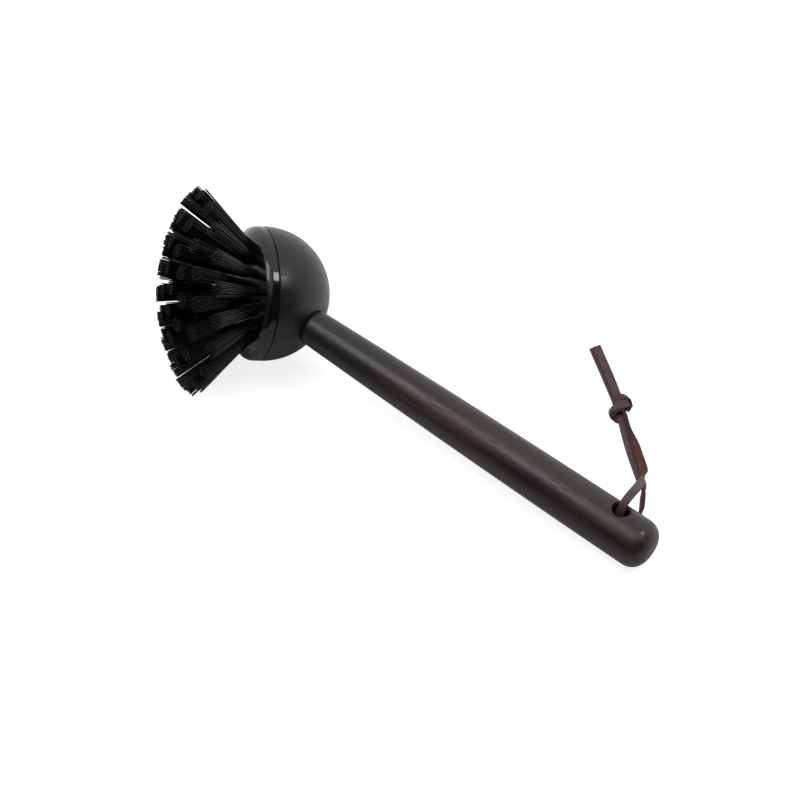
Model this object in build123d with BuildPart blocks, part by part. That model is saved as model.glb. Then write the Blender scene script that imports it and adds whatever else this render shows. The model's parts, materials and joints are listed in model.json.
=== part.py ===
"""Dish brush: half-ball head on an angled handle, with a screw-in brush head and a lace.

The brush lies on a level surface, as it is put down after use. It rests on the
ball, on one of its lowest tufts and, through the lace, on the handle. The origin
is on the surface under the centre of the ball, +X follows the handle to its butt
and +Z is up. Lengths are in millimetres and angles in degrees.
"""
from build123d import *
import math
import os

# Dome, the half ball of turned wood
ball_radius = 30.0
seam_offset = 1.2
seam_chamfer = 0.35
seam_gap = 0.2

# Handle, turned wood with a slow swell towards the butt
handle_reach = 210.5
handle_angle = 50.8
neck_radius = 8.1
neck_round = 0.5
belly_swell = 0.6
butt_radius = 11.0
butt_round = 7.6
shoulder_depth = 1.6

# Tenon that joins the handle to the dome
tenon_radius = 5.0
tenon_length = 11.0
tenon_chamfer = 0.6
glue_gap = 0.06
socket_end_gap = 0.8

# Hole for the lace, square to the plane of handle and brush head
lace_hole_radius = 4.0
lace_hole_setback = 19.0
lace_hole_round = 0.8
lace_under_gap = 1.8

# Moulded brush head: collar, drilled crown and threaded stud
collar_round = 6.0
crown_radius = 40.0
crown_height = 19.4
stud_radius = 7.0
stud_length = 11.0
stud_chamfer = 1.0
stud_clearance = 0.09
stud_end_gap = 1.2

# Tufts: one bundle of strands to each drilled hole, fanned out from a point inside the ball
tuft_hole_radius = 2.0
tuft_hole_depth = 6.0
tuft_fan_depth = 16.4
ring_radii = (24.4, 18.2, 12.2, 6.1)
ring_tuft_counts = (20, 15, 11, 6)
trim_radius = 82.0
trim_height = 45.9
root_clearance = 0.08
root_sides = 8
strand_sides = 4
strands_around = 8
strand_radius = 0.55
strand_root_spread = 1.3
strand_tip_spread = 3.0
strand_bite = 0.5

# Anchors, one flat strip of metal across the foot of each tuft
anchor_thickness = 0.4
anchor_height = 1.8
anchor_slot_clearance = 0.06

# Lace, a flat strip of leather through the hole, tied in an overhand knot
lace_width = 3.2
lace_thickness = 1.5
lace_round_share = 0.45
lace_upper_route = [
    (190.7, 0.5, 12.5),
    (191.1, 3.1, 18.3),
    (191.3, 7.5, 23.2),
    (191.2, 12.2, 23.2),
    (189.2, 20.1, 17.0),
    (186.2, 27.9, 9.2),
    (183.1, 33.6, 4.4),
    (180.0, 37.3, 2.7),
    (176.3, 40.0, 1.5),
    (171.9, 42.55, 0.85),
    (167.65, 46.05, 0.85),
    (162.45, 50.35, 1.2),
    (159.75, 52.3, 1.5),
    (153.0, 58.55, 1.5),
    (142.75, 66.3, 0.85),
    (134.8, 71.15, 0.85),
    (127.5, 75.4, 0.85),
]
lace_lower_route = [
    (190.7, 0.5, 12.5),
    (190.39, -1.53, 7.98),
    (190.15, -3.35, 4.1),
    (190.0, -1.3, 0.85),
    (191.4, 5.4, 0.85),
    (193.1, 12.4, 0.85),
    (192.5, 17.2, 0.85),
    (190.1, 21.3, 0.85),
    (187.9, 24.9, 0.85),
    (184.9, 28.2, 0.85),
    (180.6, 31.2, 0.85),
    (176.2, 34.7, 0.85),
    (169.75, 39.9, 0.85),
    (165.45, 43.4, 0.85),
    (160.35, 47.65, 1.2),
    (157.6, 49.7, 1.5),
    (150.8, 55.95, 1.5),
    (140.85, 63.5, 0.85),
    (133.05, 68.2, 0.85),
    (125.8, 72.5, 0.85),
]
knot_centre = (155.3, 54.1, 2.7)
knot_heading = (-0.735, 0.678, 0)
knot_length = 8.8
knot_width = 11.2
knot_height = 5.2
knot_round = 1.6
knot_slot_width = 7.3
knot_slot_height = 1.9
knot_slot_lift = 1.5

# One overrun serves all cuts
cut_overrun = 2.0


def trimmed_length(root_axial, root_radial, lean):
    """Length of a tuft from its root to the sphere that its tips are trimmed to."""
    from_centre = root_axial - trim_height + trim_radius
    along = from_centre * math.cos(lean) + root_radial * math.sin(lean)
    return math.sqrt(along ** 2 - from_centre ** 2 - root_radial ** 2 + trim_radius ** 2) - along


def tuft_row(ring_radius):
    """Place along the brush axis, lean and length of the tufts on one ring of the crown."""
    root_axial = crown_height - crown_radius + math.sqrt(crown_radius ** 2 - ring_radius ** 2)
    lean = math.atan2(ring_radius, root_axial + tuft_fan_depth)
    return root_axial, lean, trimmed_length(root_axial, ring_radius, lean)


# Rise of the brush axis: the lowest outer tuft touches the surface beside the ball
outer_axial, outer_lean, outer_length = tuft_row(ring_radii[0])
tip_spread = strand_tip_spread + strand_radius
heel_axial = outer_axial + outer_length * math.cos(outer_lean) - tip_spread * math.sin(outer_lean)
heel_radial = ring_radii[0] + outer_length * math.sin(outer_lean) + tip_spread * math.cos(outer_lean)
brush_rise = math.atan2(heel_radial, heel_axial) - math.asin(ball_radius / math.hypot(heel_axial, heel_radial))

# Fall of the handle: at its hole it lies on the lace that comes out below
hole_station = handle_reach - lace_hole_setback
handle_fall = math.asin((ball_radius - butt_radius - lace_under_gap) / hole_station)

# Turn of the brush axis away from the handle, seen from above
turn_cosine = (math.cos(math.radians(handle_angle)) - math.sin(brush_rise) * math.sin(handle_fall)) / (
    math.cos(brush_rise) * math.cos(handle_fall)
)
brush_turn = math.acos(turn_cosine)

ball_centre = Vector(0, 0, ball_radius)
handle_dir = Vector(math.cos(handle_fall), 0, -math.sin(handle_fall))
brush_dir = Vector(
    -math.cos(brush_rise) * math.cos(brush_turn),
    -math.cos(brush_rise) * math.sin(brush_turn),
    math.sin(brush_rise),
)
hole_dir = brush_dir.cross(handle_dir).normalized()
down_dir = (brush_dir * brush_dir.Z - Vector(0, 0, 1)).normalized()

handle_axis = Axis(ball_centre, handle_dir)
brush_axis = Axis(ball_centre, brush_dir)
handle_plane = Plane(origin=ball_centre, x_dir=handle_dir, z_dir=hole_dir)
profile_plane = Plane(origin=ball_centre, x_dir=brush_dir, z_dir=brush_dir.cross(down_dir))
brush_plane = Plane(origin=ball_centre, x_dir=down_dir, z_dir=brush_dir)
hole_plane = Plane(origin=ball_centre + handle_dir * hole_station, x_dir=handle_dir, z_dir=hole_dir)

os.makedirs("parts", exist_ok=True)

# Handle
shoulder_station = ball_radius - shoulder_depth
tenon_station = shoulder_station - tenon_length
belly_station = (shoulder_station + handle_reach) / 2
belly_radius = (neck_radius + butt_radius) / 2 + belly_swell

with BuildPart() as handle:
    with BuildSketch(handle_plane) as handle_profile:
        with BuildLine():
            Polyline(
                (handle_reach, 0),
                (tenon_station, 0),
                (tenon_station, tenon_radius),
                (shoulder_station, tenon_radius),
                (shoulder_station, neck_radius),
            )
            Spline((shoulder_station, neck_radius), (belly_station, belly_radius), (handle_reach, butt_radius))
            Line((handle_reach, butt_radius), (handle_reach, 0))
        make_face()
        outline = handle_profile.vertices()
        fillet(outline.group_by(Axis.X)[-1].sort_by(Axis.Y)[-1], butt_round)
        fillet(outline.group_by(Axis.X)[1].sort_by(Axis.Y)[-1], neck_round)
        chamfer(outline.group_by(Axis.X)[0].sort_by(Axis.Y)[-1], tenon_chamfer)
    revolve(axis=handle_axis)
    with BuildSketch(hole_plane):
        Circle(lace_hole_radius)
    extrude(amount=butt_radius + cut_overrun, both=True, mode=Mode.SUBTRACT)
    fillet(handle.edges(Select.LAST).filter_by(GeomType.LINE, reverse=True), lace_hole_round)
handle.part.label = "handle"
export_step(handle.part, "parts/handle.step")

# Dome
seam_radius = math.sqrt(ball_radius ** 2 - seam_offset ** 2)
shoulder_plane = Plane(origin=ball_centre + handle_dir * shoulder_station, z_dir=handle_dir)
seam_plane = brush_plane.offset(seam_offset)

with BuildPart() as dome:
    with BuildSketch(profile_plane):
        with BuildLine():
            back = (-ball_radius, 0)
            flank = (-ball_radius * math.sqrt(0.5), ball_radius * math.sqrt(0.5))
            ThreePointArc(back, flank, (seam_offset, seam_radius))
            Polyline((seam_offset, seam_radius), (seam_offset, 0), back)
        make_face()
    revolve(axis=brush_axis)
    chamfer(dome.edges().filter_by(GeomType.CIRCLE).sort_by(brush_axis)[-1], seam_chamfer)
    with BuildSketch(shoulder_plane):
        Circle(neck_radius + cut_overrun)
    extrude(amount=shoulder_depth + cut_overrun, mode=Mode.SUBTRACT)
    with BuildSketch(shoulder_plane):
        Circle(tenon_radius + glue_gap)
    extrude(amount=-(tenon_length + socket_end_gap), mode=Mode.SUBTRACT)
    with BuildSketch(seam_plane):
        Circle(stud_radius + stud_clearance)
    extrude(amount=-(stud_length + stud_end_gap), mode=Mode.SUBTRACT)
dome.part.label = "dome"
export_step(dome.part, "parts/dome.step")

# Places of the tufts, ring by ring from the rim inwards, and one at the centre
fan_centre = brush_plane.from_local_coords(Vector(0, 0, -tuft_fan_depth))
tuft_places = []
for ring_index, (ring_radius, tuft_count) in enumerate(zip(ring_radii + (0,), ring_tuft_counts + (1,))):
    root_axial, lean, tuft_length = tuft_row(ring_radius)
    for tuft_number in range(tuft_count):
        around = 2 * math.pi * (tuft_number + ring_index / 2) / tuft_count
        root = brush_plane.from_local_coords(
            Vector(ring_radius * math.cos(around), ring_radius * math.sin(around), root_axial)
        )
        side_dir = brush_plane.from_local_coords(Vector(-math.sin(around), math.cos(around), 0)) - ball_centre
        tuft_places.append((Plane(origin=root, x_dir=side_dir, z_dir=root - fan_centre), tuft_length))

# Brush head
back_station = seam_offset + seam_gap
rim_station = crown_height - crown_radius + math.sqrt(crown_radius ** 2 - ball_radius ** 2)
flank_lean = math.asin(ball_radius / crown_radius) / 2
crown_flank = (
    crown_height - crown_radius + crown_radius * math.cos(flank_lean),
    crown_radius * math.sin(flank_lean),
)

with BuildPart() as brush_head:
    with BuildSketch(profile_plane) as head_profile:
        with BuildLine():
            Polyline(
                (crown_height, 0),
                (back_station - stud_length, 0),
                (back_station - stud_length, stud_radius),
                (back_station, stud_radius),
                (back_station, ball_radius),
                (rim_station, ball_radius),
            )
            ThreePointArc((rim_station, ball_radius), crown_flank, (crown_height, 0))
        make_face()
        rim_corners = head_profile.vertices().group_by(Axis.Y)[-1].sort_by(Axis.X)
        fillet(rim_corners[-1], collar_round)
        chamfer(rim_corners[0], seam_chamfer)
        chamfer(head_profile.vertices().group_by(Axis.X)[0].sort_by(Axis.Y)[-1], stud_chamfer)
    revolve(axis=brush_axis)
    for place, _ in tuft_places:
        with BuildSketch(place.offset(-tuft_hole_depth)):
            Circle(tuft_hole_radius)
    extrude(amount=tuft_hole_depth + cut_overrun, mode=Mode.SUBTRACT)
brush_head.part.label = "brush_head"
export_step(brush_head.part, "parts/brush_head.step")

# Anchors
root_radius = tuft_hole_radius - root_clearance
anchor_length = 2 * math.sqrt(root_radius ** 2 - (anchor_thickness / 2) ** 2)

with BuildPart() as tuft_anchors:
    for place, _ in tuft_places:
        with BuildSketch(place.offset(-tuft_hole_depth)):
            Rectangle(anchor_length, anchor_thickness)
    extrude(amount=anchor_height)
tuft_anchors.part.label = "tuft_anchors"
export_step(tuft_anchors.part, "parts/tuft_anchors.step")


def strand_places():
    """Places of one tuft's strands as shares of its spread: one in the middle, the rest around."""
    places = [Vector(0, 0, 0)]
    for number in range(strands_around):
        places.append(Vector(1, 0, 0).rotate(Axis.Z, 360 * number / strands_around))
    return places


# Tufts
for tuft_index, (place, tuft_length) in enumerate(tuft_places, start=1):
    foot_plane = place.offset(-tuft_hole_depth)
    with BuildPart() as tuft:
        with BuildSketch(foot_plane):
            RegularPolygon(radius=root_radius, side_count=root_sides)
        extrude(amount=tuft_hole_depth)
        with BuildSketch(foot_plane):
            Rectangle(2 * tuft_hole_radius, anchor_thickness + 2 * anchor_slot_clearance)
        extrude(amount=anchor_height + anchor_slot_clearance, mode=Mode.SUBTRACT)
        for share in strand_places():
            start = place.from_local_coords(share * strand_root_spread - Vector(0, 0, strand_bite))
            tip = place.from_local_coords(share * strand_tip_spread + Vector(0, 0, tuft_length))
            with BuildSketch(Plane(origin=start, x_dir=place.x_dir, z_dir=tip - start)):
                RegularPolygon(radius=strand_radius, side_count=strand_sides)
        extrude(amount=tuft_length + strand_bite)
    tuft.part.label = f"tuft_{tuft_index:02d}"
    export_step(tuft.part, f"parts/tuft_{tuft_index:02d}.step")


def bend_radii(route):
    """Radius at each corner of a route, as large as the two runs beside it allow."""
    points = [Vector(*point) for point in route]
    radii = []
    for before, corner, after in zip(points, points[1:], points[2:]):
        half_turn = math.radians((corner - before).get_angle(after - corner)) / 2
        shorter_run = min((corner - before).length, (after - corner).length)
        radii.append(lace_round_share * shorter_run / math.tan(half_turn))
    return radii


# Lace: each half is drawn from its level end on the surface to the middle of the hole
for lace_name, route in (("lace_upper", lace_upper_route), ("lace_lower", lace_lower_route)):
    drawn_route = route[::-1]
    radii = bend_radii(drawn_route)
    first_run = Vector(*drawn_route[1]) - Vector(*drawn_route[0])
    with BuildPart() as lace:
        with BuildLine() as path:
            FilletPolyline(*drawn_route, radius=radii)
        with BuildSketch(Plane(origin=drawn_route[0], x_dir=first_run.cross(Vector(0, 0, 1)), z_dir=first_run)):
            Rectangle(lace_width, lace_thickness)
        sweep()
    lace.part.label = lace_name
    export_step(lace.part, f"parts/{lace_name}.step")
    lace_length = path.wires()[0].length
    print(lace_name, "length", round(lace_length, 1), "radii", [round(radius, 1) for radius in radii])
    print("volume over section times length", lace.part.volume / (lace_width * lace_thickness * lace_length))

# Knot of the lace
knot_plane = Plane(origin=knot_centre, x_dir=Vector(*knot_heading), z_dir=(0, 0, 1))
slot_plane = knot_plane.offset(knot_slot_lift - knot_centre[2])

with BuildPart() as lace_knot:
    with BuildSketch(knot_plane):
        Rectangle(knot_length, knot_width)
    extrude(amount=knot_height / 2, both=True)
    fillet(lace_knot.edges(), knot_round)
    with BuildSketch(slot_plane):
        Rectangle(knot_length + 2 * cut_overrun, knot_slot_width)
    extrude(amount=knot_slot_height / 2, both=True, mode=Mode.SUBTRACT)
lace_knot.part.label = "lace_knot"
export_step(lace_knot.part, "parts/lace_knot.step")

print("brush rise", math.degrees(brush_rise), "handle fall", math.degrees(handle_fall))
print("brush turn", math.degrees(brush_turn), "outer tuft length", outer_length)
print("hole direction", hole_dir, "hole centre", hole_plane.origin, "brush direction", brush_dir)
print("tufts", len(tuft_places), "strands", len(tuft_places) * len(strand_places()))
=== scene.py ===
"""Looks of the dish brush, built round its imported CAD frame.

The brush lies on a level surface: the ball of the head and one of the lowest tufts touch
it, and the handle lies on the lace that comes out below. Places are in metres in the
frame's own axes: the origin is on the surface under the centre of the ball, +X follows
the handle to its butt and +Z is up. Sizes of the brush's pieces are in millimetres and
are turned to metres by MM, those of the studio are in metres.
"""
import json
import logging
import math
import random
from dataclasses import dataclass, field
from enum import Enum
from typing import Iterable, Sequence

import bpy
import numpy as np
from mathutils import Matrix, Quaternion, Vector


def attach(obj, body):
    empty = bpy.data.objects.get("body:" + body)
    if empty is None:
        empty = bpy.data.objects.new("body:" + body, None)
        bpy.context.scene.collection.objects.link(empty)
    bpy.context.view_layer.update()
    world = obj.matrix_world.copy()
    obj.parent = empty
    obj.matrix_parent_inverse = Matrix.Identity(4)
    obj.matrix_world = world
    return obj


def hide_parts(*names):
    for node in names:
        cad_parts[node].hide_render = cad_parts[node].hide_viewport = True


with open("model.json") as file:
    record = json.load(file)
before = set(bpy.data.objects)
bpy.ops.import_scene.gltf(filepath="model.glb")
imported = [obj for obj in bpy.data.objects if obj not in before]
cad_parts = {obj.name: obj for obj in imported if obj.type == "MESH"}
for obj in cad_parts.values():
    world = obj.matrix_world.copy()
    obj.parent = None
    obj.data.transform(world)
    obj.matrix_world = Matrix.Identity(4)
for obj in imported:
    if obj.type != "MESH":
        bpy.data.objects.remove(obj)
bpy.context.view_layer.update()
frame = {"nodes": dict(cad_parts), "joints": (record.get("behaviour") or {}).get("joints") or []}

LOG = logging.getLogger("dish_brush")
MM = 0.001
FLOOR_CLEARANCE = 0.1 * MM
HANDLE_SIDE = "handle_side"
SCREW_HEAD = "screw_head"

Point = tuple[float, float, float]
Colour = tuple[float, float, float, float]


def linear(hex_colour: str) -> Colour:
    """Turns an sRGB hex colour to the linear values that a shader takes.

    Args:
        hex_colour: The colour as "#rrggbb".

    Returns:
        Linear red, green, blue and an alpha of 1.
    """
    shares = [int(hex_colour[i : i + 2], 16) / 255 for i in (1, 3, 5)]
    channels = [s / 12.92 if s <= 0.04045 else ((s + 0.055) / 1.055) ** 2.4 for s in shares]
    return (channels[0], channels[1], channels[2], 1.0)


def feed(node: bpy.types.Node, inputs: dict[str | int, object]) -> None:
    """Sets or links inputs of a node.

    Args:
        node: The node.
        inputs: A value, or another node's output to link, for each input by name or number.
    """
    for name, value in inputs.items():
        if isinstance(value, bpy.types.NodeSocket):
            node.id_data.links.new(value, node.inputs[name])
        else:
            node.inputs[name].default_value = value


def add_node(
    tree: bpy.types.NodeTree,
    kind: str,
    settings: dict[str, object] | None = None,
    inputs: dict[str | int, object] | None = None,
) -> bpy.types.Node:
    """Adds one shader node with its settings and its links.

    Args:
        tree: The node tree that takes the node.
        kind: Blender's name for the kind of node.
        settings: Properties of the node by name.
        inputs: What feed takes.

    Returns:
        The new node.
    """
    node = tree.nodes.new(kind)
    for name, value in (settings or {}).items():
        setattr(node, name, value)
    feed(node, inputs or {})
    return node


def add_ramp(node: bpy.types.Node, stops: Sequence[tuple[float, Colour]]) -> bpy.types.NodeSocket:
    """Gives a colour ramp its stops.

    Args:
        node: The Color Ramp node.
        stops: Place and linear colour of each stop, in rising order.

    Returns:
        The ramp's colour output.
    """
    elements = node.color_ramp.elements
    while len(elements) < len(stops):
        elements.new(1.0)
    for element, (place, colour) in zip(elements, stops):
        element.position = place
        element.color = colour
    return node.outputs["Color"]


def grey(value: float) -> Colour:
    """A linear grey of that value."""
    return (value, value, value, 1.0)


def new_material(name: str) -> tuple[bpy.types.Material, bpy.types.Node, bpy.types.NodeSocket]:
    """Makes a material with one Principled BSDF on its output.

    Args:
        name: The material's name.

    Returns:
        The material, its shader node and the place on the object, in metres.
    """
    material = bpy.data.materials.new(name)
    material.use_nodes = True
    tree = material.node_tree
    return material, tree.nodes["Principled BSDF"], add_node(tree, "ShaderNodeTexCoord").outputs["Object"]


def axis_turn(direction: Vector) -> tuple[float, float, float]:
    """Euler angles of a Mapping node that lays the pattern's X along a direction."""
    return tuple(direction.rotation_difference(Vector((1, 0, 0))).to_euler())


@dataclass(frozen=True)
class StainedOak:
    """Oak, turned, sanded and stained black, then oiled.

    The stain sinks into the open pores, which show as short darker dashes along the grain.
    Between them the wood keeps a trace of brown in streaks, browner from one station out along
    the grain, and the oil gives a soft sheen instead of a clear reflection.
    """

    name: str
    grain_direction: Vector
    dark_hex: str
    warm_hex: str
    pore_hex: str = "#080707"
    ray_width_mm: float = 2.6
    pore_width_mm: float = 0.28
    pore_length_mm: float = 4.0
    grain_length_share: float = 0.06
    # Stations along the grain, in millimetres, between which the wood turns browner, and the brown share
    # before them.
    brown_from_mm: float = 1000.0
    brown_full_mm: float = 1100.0
    start_brown: float = 0.12
    brown_stops: tuple[tuple[float, float], ...] = ((0.38, 0.05), (0.5, 0.45), (0.64, 1.0))
    pore_stops: tuple[tuple[float, float], ...] = ((0.12, 0.85), (0.27, 0.0))
    open_stops: tuple[tuple[float, float], ...] = ((0.45, 0.1), (0.6, 1.0))
    pore_cell_share: float = 0.45
    open_zone_share: float = 0.35
    roughness: float = 0.34
    streak_edges: tuple[float, float] = (0.35, 0.65)
    sheen_spread: tuple[float, float] = (-0.07, 0.09)
    pore_roughness: float = 0.8
    sheen_ior: float = 1.5
    pore_depth_mm: float = 0.12
    relief_strength: float = 0.4

    def build(self) -> bpy.types.Material:
        """Makes the material.

        Returns:
            The finished material.
        """
        material, shader, place = new_material(self.name)
        tree = material.node_tree
        turned = add_node(
            tree, "ShaderNodeMapping", inputs={"Vector": place, "Rotation": axis_turn(self.grain_direction)}
        ).outputs["Vector"]
        along_grain = add_node(
            tree,
            "ShaderNodeMapping",
            inputs={"Vector": turned, "Scale": (self.grain_length_share, 1.0, 1.0)},
        ).outputs["Vector"]
        streaks = add_node(
            tree,
            "ShaderNodeTexNoise",
            inputs={
                "Vector": along_grain,
                "Scale": 1 / (self.ray_width_mm * MM),
                "Detail": 5.0,
                "Roughness": 0.6,
                "Distortion": 0.4,
            },
        ).outputs["Fac"]
        station = add_node(tree, "ShaderNodeSeparateXYZ", inputs={0: turned}).outputs["X"]
        # The brown share rises from its low value to full between two stations along the grain.
        brown_ramp = add_node(
            tree,
            "ShaderNodeMapRange",
            settings={"interpolation_type": "SMOOTHSTEP"},
            inputs={
                "Value": station,
                "From Min": self.brown_from_mm * MM,
                "From Max": self.brown_full_mm * MM,
                "To Min": self.start_brown,
                "To Max": 1.0,
            },
        ).outputs["Result"]
        brown_streaks = add_ramp(
            add_node(tree, "ShaderNodeValToRGB", inputs={"Fac": streaks}),
            [(stop, grey(share)) for stop, share in self.brown_stops],
        )
        brown = add_node(
            tree, "ShaderNodeMath", settings={"operation": "MULTIPLY"}, inputs={0: brown_streaks, 1: brown_ramp}
        ).outputs["Value"]
        wood_colour = add_node(
            tree,
            "ShaderNodeMix",
            settings={"data_type": "RGBA"},
            inputs={0: brown, 6: linear(self.dark_hex), 7: linear(self.warm_hex)},
        ).outputs[2]
        pore_stretch = add_node(
            tree,
            "ShaderNodeMapping",
            inputs={"Vector": turned, "Scale": (self.pore_width_mm / self.pore_length_mm, 1.0, 1.0)},
        ).outputs["Vector"]
        cells = add_node(
            tree,
            "ShaderNodeTexVoronoi",
            settings={"feature": "F1"},
            inputs={"Vector": pore_stretch, "Scale": self.pore_cell_share / (self.pore_width_mm * MM)},
        ).outputs["Distance"]
        pores = add_ramp(
            add_node(tree, "ShaderNodeValToRGB", inputs={"Fac": cells}),
            [(stop, grey(share)) for stop, share in self.pore_stops],
        )
        scatter = add_node(
            tree,
            "ShaderNodeTexNoise",
            inputs={
                "Vector": along_grain,
                "Scale": self.open_zone_share / (self.ray_width_mm * MM),
                "Detail": 2.0,
            },
        ).outputs["Fac"]
        open_zone = add_ramp(
            add_node(tree, "ShaderNodeValToRGB", inputs={"Fac": scatter}),
            [(stop, grey(share)) for stop, share in self.open_stops],
        )
        pore_share = add_node(
            tree,
            "ShaderNodeMath",
            settings={"operation": "MULTIPLY", "use_clamp": True},
            inputs={0: pores, 1: open_zone},
        ).outputs["Value"]
        colour = add_node(
            tree,
            "ShaderNodeMix",
            settings={"data_type": "RGBA"},
            inputs={0: pore_share, 6: wood_colour, 7: linear(self.pore_hex)},
        ).outputs[2]
        sheen = add_node(
            tree,
            "ShaderNodeMapRange",
            inputs={
                "Value": streaks,
                "From Min": self.streak_edges[0],
                "From Max": self.streak_edges[1],
                "To Min": self.roughness + self.sheen_spread[0],
                "To Max": self.roughness + self.sheen_spread[1],
            },
        ).outputs["Result"]
        roughness = add_node(
            tree,
            "ShaderNodeMix",
            settings={"data_type": "FLOAT"},
            inputs={0: pore_share, 2: sheen, 3: self.pore_roughness},
        ).outputs[0]
        relief = add_node(
            tree,
            "ShaderNodeMath",
            settings={"operation": "MULTIPLY_ADD"},
            inputs={0: pore_share, 1: -1.0, 2: streaks},
        ).outputs["Value"]
        bump = add_node(
            tree,
            "ShaderNodeBump",
            inputs={"Height": relief, "Strength": self.relief_strength, "Distance": self.pore_depth_mm * MM},
        ).outputs["Normal"]
        feed(shader, {"Base Color": colour, "Roughness": roughness, "Normal": bump, "IOR": self.sheen_ior})
        return material


@dataclass(frozen=True)
class GlossAbs:
    """ABS, black, moulded in a polished tool: a clear reflection with a very slight ripple."""

    name: str
    hex_colour: str = "#060607"
    roughness: float = 0.09
    ior: float = 1.52
    ripple_mm: float = 9.0
    ripple_height_mm: float = 0.05
    haze_spread: float = 0.03
    relief_strength: float = 0.4

    def build(self) -> bpy.types.Material:
        """Makes the material.

        Returns:
            The finished material.
        """
        material, shader, place = new_material(self.name)
        tree = material.node_tree
        ripple = add_node(
            tree,
            "ShaderNodeTexNoise",
            inputs={"Vector": place, "Scale": 1 / (self.ripple_mm * MM), "Detail": 2.0},
        ).outputs["Fac"]
        haze = add_node(
            tree,
            "ShaderNodeMapRange",
            inputs={
                "Value": ripple,
                "To Min": self.roughness - self.haze_spread,
                "To Max": self.roughness + self.haze_spread,
            },
        ).outputs["Result"]
        bump = add_node(
            tree,
            "ShaderNodeBump",
            inputs={
                "Height": ripple,
                "Strength": self.relief_strength,
                "Distance": self.ripple_height_mm * MM,
            },
        ).outputs["Normal"]
        colour = linear(self.hex_colour)
        feed(shader, {"Base Color": colour, "Roughness": haze, "Normal": bump, "IOR": self.ior})
        return material


@dataclass(frozen=True)
class DrawnNylon:
    """Black nylon bristle, drawn through a die: smooth, with a long streak of light on each strand."""

    name: str
    hex_colour: str = "#040405"
    light_hex: str = "#0c0c0e"
    roughness: float = 0.24
    ior: float = 1.42
    lot_length_mm: float = 1.2

    def build(self) -> bpy.types.Material:
        """Makes the material.

        Returns:
            The finished material.
        """
        material, shader, place = new_material(self.name)
        tree = material.node_tree
        patches = add_node(
            tree,
            "ShaderNodeTexNoise",
            inputs={"Vector": place, "Scale": 1 / (self.lot_length_mm * MM), "Detail": 1.0},
        ).outputs["Fac"]
        colour = add_ramp(
            add_node(tree, "ShaderNodeValToRGB", inputs={"Fac": patches}),
            [(0.35, linear(self.hex_colour)), (0.65, linear(self.light_hex))],
        )
        feed(shader, {"Base Color": colour, "Roughness": self.roughness, "IOR": self.ior})
        return material


@dataclass(frozen=True)
class SawnNylon:
    """Ends of the bristles, cut in the trimming machine: dull and greyer than their sides."""

    name: str
    hex_colour: str = "#3a3a3e"
    dark_hex: str = "#1c1c1f"
    roughness: float = 0.6
    grit_mm: float = 0.4

    def build(self) -> bpy.types.Material:
        """Makes the material.

        Returns:
            The finished material.
        """
        material, shader, place = new_material(self.name)
        tree = material.node_tree
        grit = add_node(
            tree, "ShaderNodeTexNoise", inputs={"Vector": place, "Scale": 1 / (self.grit_mm * MM)}
        ).outputs["Fac"]
        colour = add_ramp(
            add_node(tree, "ShaderNodeValToRGB", inputs={"Fac": grit}),
            [(0.3, linear(self.dark_hex)), (0.7, linear(self.hex_colour))],
        )
        feed(shader, {"Base Color": colour, "Roughness": self.roughness})
        return material


class LeatherSide(Enum):
    """The side of a leather strip that a face shows."""

    GRAIN = "grain"
    FLESH = "flesh"
    EDGE = "edge"


@dataclass(frozen=True)
class LaceLeather:
    """Cowhide lace, drum dyed brown and cut to a strip.

    The grain side is smooth and greyed by its finish. The flesh side and the cut edges are
    napped, so they scatter the light and show the dye redder.
    """

    name: str
    side: LeatherSide
    light_hex: str
    dark_hex: str
    roughness: float
    crease_mm: float = 0.9
    nap_mm: float = 0.18
    broad_share: float = 0.22
    relief_mm: float = 0.1
    relief_strength: float = 0.5

    def build(self) -> bpy.types.Material:
        """Makes the material.

        Returns:
            The finished material.
        """
        material, shader, place = new_material(self.name)
        tree = material.node_tree
        size_mm = self.crease_mm if self.side is LeatherSide.GRAIN else self.nap_mm
        fine = add_node(
            tree,
            "ShaderNodeTexNoise",
            inputs={"Vector": place, "Scale": 1 / (size_mm * MM), "Detail": 4.0, "Roughness": 0.65},
        ).outputs["Fac"]
        broad = add_node(
            tree,
            "ShaderNodeTexNoise",
            inputs={"Vector": place, "Scale": self.broad_share / (self.crease_mm * MM), "Detail": 2.0},
        ).outputs["Fac"]
        half_broad = add_node(
            tree, "ShaderNodeMath", settings={"operation": "MULTIPLY"}, inputs={0: broad, 1: 0.5}
        ).outputs["Value"]
        tone = add_node(
            tree,
            "ShaderNodeMath",
            settings={"operation": "MULTIPLY_ADD"},
            inputs={0: fine, 1: 0.5, 2: half_broad},
        ).outputs["Value"]
        colour = add_ramp(
            add_node(tree, "ShaderNodeValToRGB", inputs={"Fac": tone}),
            [(0.36, linear(self.dark_hex)), (0.62, linear(self.light_hex))],
        )
        bump = add_node(
            tree,
            "ShaderNodeBump",
            inputs={"Height": fine, "Strength": self.relief_strength, "Distance": self.relief_mm * MM},
        ).outputs["Normal"]
        feed(shader, {"Base Color": colour, "Roughness": self.roughness, "Normal": bump})
        return material


@dataclass(frozen=True)
class GalvanisedSteel:
    """Galvanised steel strip, sheared: a grey metal with the blotches of its zinc."""

    name: str
    light_hex: str = "#b9bbbd"
    dark_hex: str = "#8d9092"
    roughness: float = 0.38
    spangle_mm: float = 0.8

    def build(self) -> bpy.types.Material:
        """Makes the material.

        Returns:
            The finished material.
        """
        material, shader, place = new_material(self.name)
        tree = material.node_tree
        spangle = add_node(
            tree,
            "ShaderNodeTexVoronoi",
            inputs={"Vector": place, "Scale": 1 / (self.spangle_mm * MM)},
        ).outputs["Distance"]
        colour = add_ramp(
            add_node(tree, "ShaderNodeValToRGB", inputs={"Fac": spangle}),
            [(0.1, linear(self.light_hex)), (0.6, linear(self.dark_hex))],
        )
        feed(shader, {"Base Color": colour, "Metallic": 1.0, "Roughness": self.roughness})
        return material


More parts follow.
